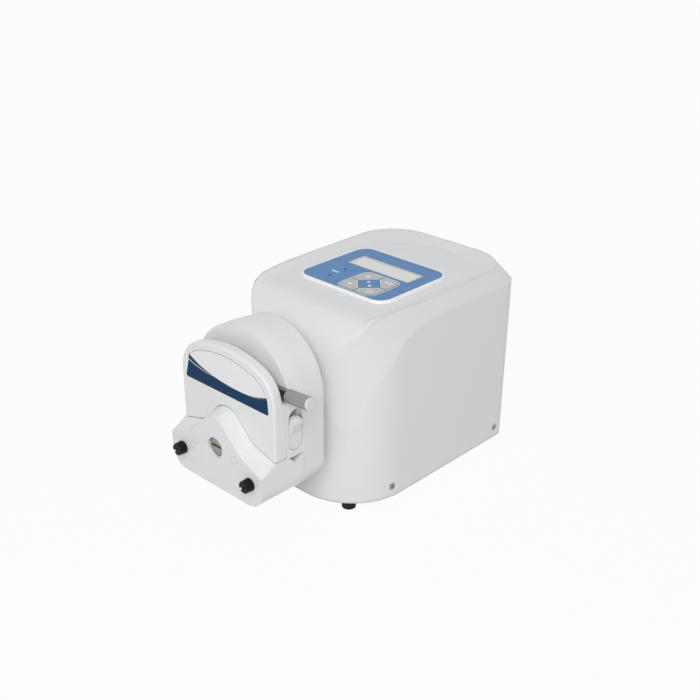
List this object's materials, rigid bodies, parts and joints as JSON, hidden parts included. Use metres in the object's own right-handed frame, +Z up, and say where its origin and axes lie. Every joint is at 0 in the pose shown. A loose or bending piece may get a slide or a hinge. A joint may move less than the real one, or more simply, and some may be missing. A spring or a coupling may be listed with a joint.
{
  "type": "peristaltic pump",
  "caption": "Benchtop peristaltic pump: drive unit with keypad and display, and a lever-operated roller head that squeezes tubing.",
  "frame": {"origin": "on the table under the middle of the pump, in the mid plane of the housing and head", "axes": "+Z up, pump shaft along Y, pump head at the -Y end, keypad on top, lever handle towards +X when closed"},
  "size_m": [0.1841, 0.357, 0.205],
  "materials": {
    "housing_plastic": "smooth white moulded plastic",
    "head_plastic": "smooth white moulded plastic",
    "clamp_plastic": "smooth white plastic",
    "label_film": "printed film, white above a navy band",
    "keypad_film": "blue printed membrane",
    "key_grey": "grey printed key",
    "key_blue": "blue printed key",
    "display_glass": "clear window",
    "display_dark": "display module",
    "led_blue": "lit lens",
    "black_plastic": "black moulded plastic",
    "rubber_black": "black rubber",
    "steel_polished": "turned stainless steel",
    "steel_screw": "plated steel",
    "panel_metal": "brushed plate",
    "motor_dark": "black painted can",
    "board_green": "circuit board",
    "plate_steel": "folded sheet steel",
    "bearing_steel": "bearing steel",
    "roller_plastic": "turned roller"
  },
  "bodies": {
    "drive_unit": {"housing_shell": "housing_plastic", "base_plate": "plate_steel", "rubber_feet": "rubber_black", "foot_screws": "steel_screw", "side_screws": "steel_screw", "rear_panel": "panel_metal", "rear_panel_screws": "steel_screw", "power_inlet": "black_plastic", "inlet_pins": "steel_screw", "switch_frame": "black_plastic", "fuse_holder": "black_plastic", "signal_connector": "panel_metal", "keypad_bezel": "housing_plastic", "keypad_overlay": "keypad_film", "display_window": "display_glass", "display_module": "display_dark", "status_leds": "led_blue", "control_board": "board_green", "board_standoffs": "steel_screw", "key_switches": "black_plastic", "power_supply": "plate_steel", "motor_bracket": "panel_metal", "motor_body": "motor_dark", "drive_screws": "steel_screw", "head_flange": "panel_metal", "head_screws": "steel_screw", "rear_body": "head_plastic", "lower_block": "head_plastic", "guide_rods": "steel_polished", "front_bearing": "bearing_steel", "rear_bearing": "bearing_steel", "cover_plugs": "head_plastic"},
    "rotor": {"rotor_shaft": "steel_polished", "motor_shaft": "steel_polished", "carrier_front": "steel_polished", "carrier_rear": "steel_polished", "roller_pins": "steel_polished"},
    "roller_1": {"roller_1": "roller_plastic"},
    "roller_2": {"roller_2": "roller_plastic"},
    "roller_3": {"roller_3": "roller_plastic"},
    "upper_block": {"upper_cover": "head_plastic", "head_label": "label_film", "occlusion_bed": "head_plastic"},
    "lever": {"lever_arm": "steel_polished", "cam_shaft": "steel_polished", "lever_handle": "steel_polished", "handle_cap": "clamp_plastic"},
    "tube_clamp_left": {"tube_clamp_left": "clamp_plastic"},
    "tube_clamp_right": {"tube_clamp_right": "clamp_plastic"},
    "thumbscrew_left": {"thumbscrew_left": "black_plastic"},
    "thumbscrew_right": {"thumbscrew_right": "black_plastic"},
    "power_rocker": {"switch_rocker": "black_plastic"},
    "fuse_cap": {"fuse_cap": "black_plastic"},
    "key_rear_right": {"key_rear_right": "key_grey"},
    "key_rear_left": {"key_rear_left": "key_grey"},
    "key_front_left": {"key_front_left": "key_grey"},
    "key_front_right": {"key_front_right": "key_grey"},
    "key_centre": {"key_centre": "key_blue"}
  },
  "joints": [
    {"name": "rotor_spin", "type": "hinge", "parent": "drive_unit", "child": "rotor", "pos_m": [0, -0.126, 0.0913], "axis": [0, 1, 0], "continuous": true},
    {"name": "roller_1_spin", "type": "hinge", "parent": "rotor", "child": "roller_1", "pos_m": [0, -0.128, 0.1173], "axis": [0, 1, 0], "continuous": true},
    {"name": "roller_2_spin", "type": "hinge", "parent": "rotor", "child": "roller_2", "pos_m": [-0.02252, -0.128, 0.0783], "axis": [0, 1, 0], "continuous": true},
    {"name": "roller_3_spin", "type": "hinge", "parent": "rotor", "child": "roller_3", "pos_m": [0.02252, -0.128, 0.0783], "axis": [0, 1, 0], "continuous": true},
    {"name": "lever_swing", "type": "hinge", "parent": "drive_unit", "child": "lever", "pos_m": [0, -0.136, 0.152], "axis": [0, -1, 0], "range_deg": [0, 171.2]},
    {"name": "block_lift", "type": "slide", "parent": "drive_unit", "child": "upper_block", "axis": [0, 0, 1], "range_m": [0, 0.009]},
    {"name": "clamp_left_slide", "type": "slide", "parent": "drive_unit", "child": "tube_clamp_left", "axis": [0, 0, 1], "range_m": [0, 0.0075]},
    {"name": "clamp_right_slide", "type": "slide", "parent": "drive_unit", "child": "tube_clamp_right", "axis": [0, 0, 1], "range_m": [0, 0.0075]},
    {"name": "thumbscrew_left_turn", "type": "hinge", "parent": "drive_unit", "child": "thumbscrew_left", "pos_m": [-0.0477, -0.176, 0.0725], "axis": [0, 1, 0], "continuous": true},
    {"name": "thumbscrew_right_turn", "type": "hinge", "parent": "drive_unit", "child": "thumbscrew_right", "pos_m": [0.0477, -0.176, 0.0725], "axis": [0, 1, 0], "continuous": true},
    {"name": "power_rocker_tilt", "type": "hinge", "parent": "drive_unit", "child": "power_rocker", "pos_m": [-0.0385, 0.1675, 0.094], "axis": [1, 0, 0], "range_deg": [0, 12]},
    {"name": "fuse_cap_turn", "type": "hinge", "parent": "drive_unit", "child": "fuse_cap", "pos_m": [0, 0.17, 0.056], "axis": [0, 1, 0], "range_deg": [0, 90]},
    {"name": "key_rear_right_press", "type": "slide", "parent": "drive_unit", "child": "key_rear_right", "axis": [0, 0, -1], "range_m": [0, 0.0004], "stiffness_N_per_m": 400, "springref_m": -0.0005},
    {"name": "key_rear_left_press", "type": "slide", "parent": "drive_unit", "child": "key_rear_left", "axis": [0, 0, -1], "range_m": [0, 0.0004], "stiffness_N_per_m": 400, "springref_m": -0.0005},
    {"name": "key_front_left_press", "type": "slide", "parent": "drive_unit", "child": "key_front_left", "axis": [0, 0, -1], "range_m": [0, 0.0004], "stiffness_N_per_m": 400, "springref_m": -0.0005},
    {"name": "key_front_right_press", "type": "slide", "parent": "drive_unit", "child": "key_front_right", "axis": [0, 0, -1], "range_m": [0, 0.0004], "stiffness_N_per_m": 400, "springref_m": -0.0005},
    {"name": "key_centre_press", "type": "slide", "parent": "drive_unit", "child": "key_centre", "axis": [0, 0, -1], "range_m": [0, 0.0004], "stiffness_N_per_m": 400, "springref_m": -0.0005}
  ],
  "couplings": [
    {"joint": "block_lift", "follows": "lever_swing", "m_per_rad": 0.003012}
  ]
}
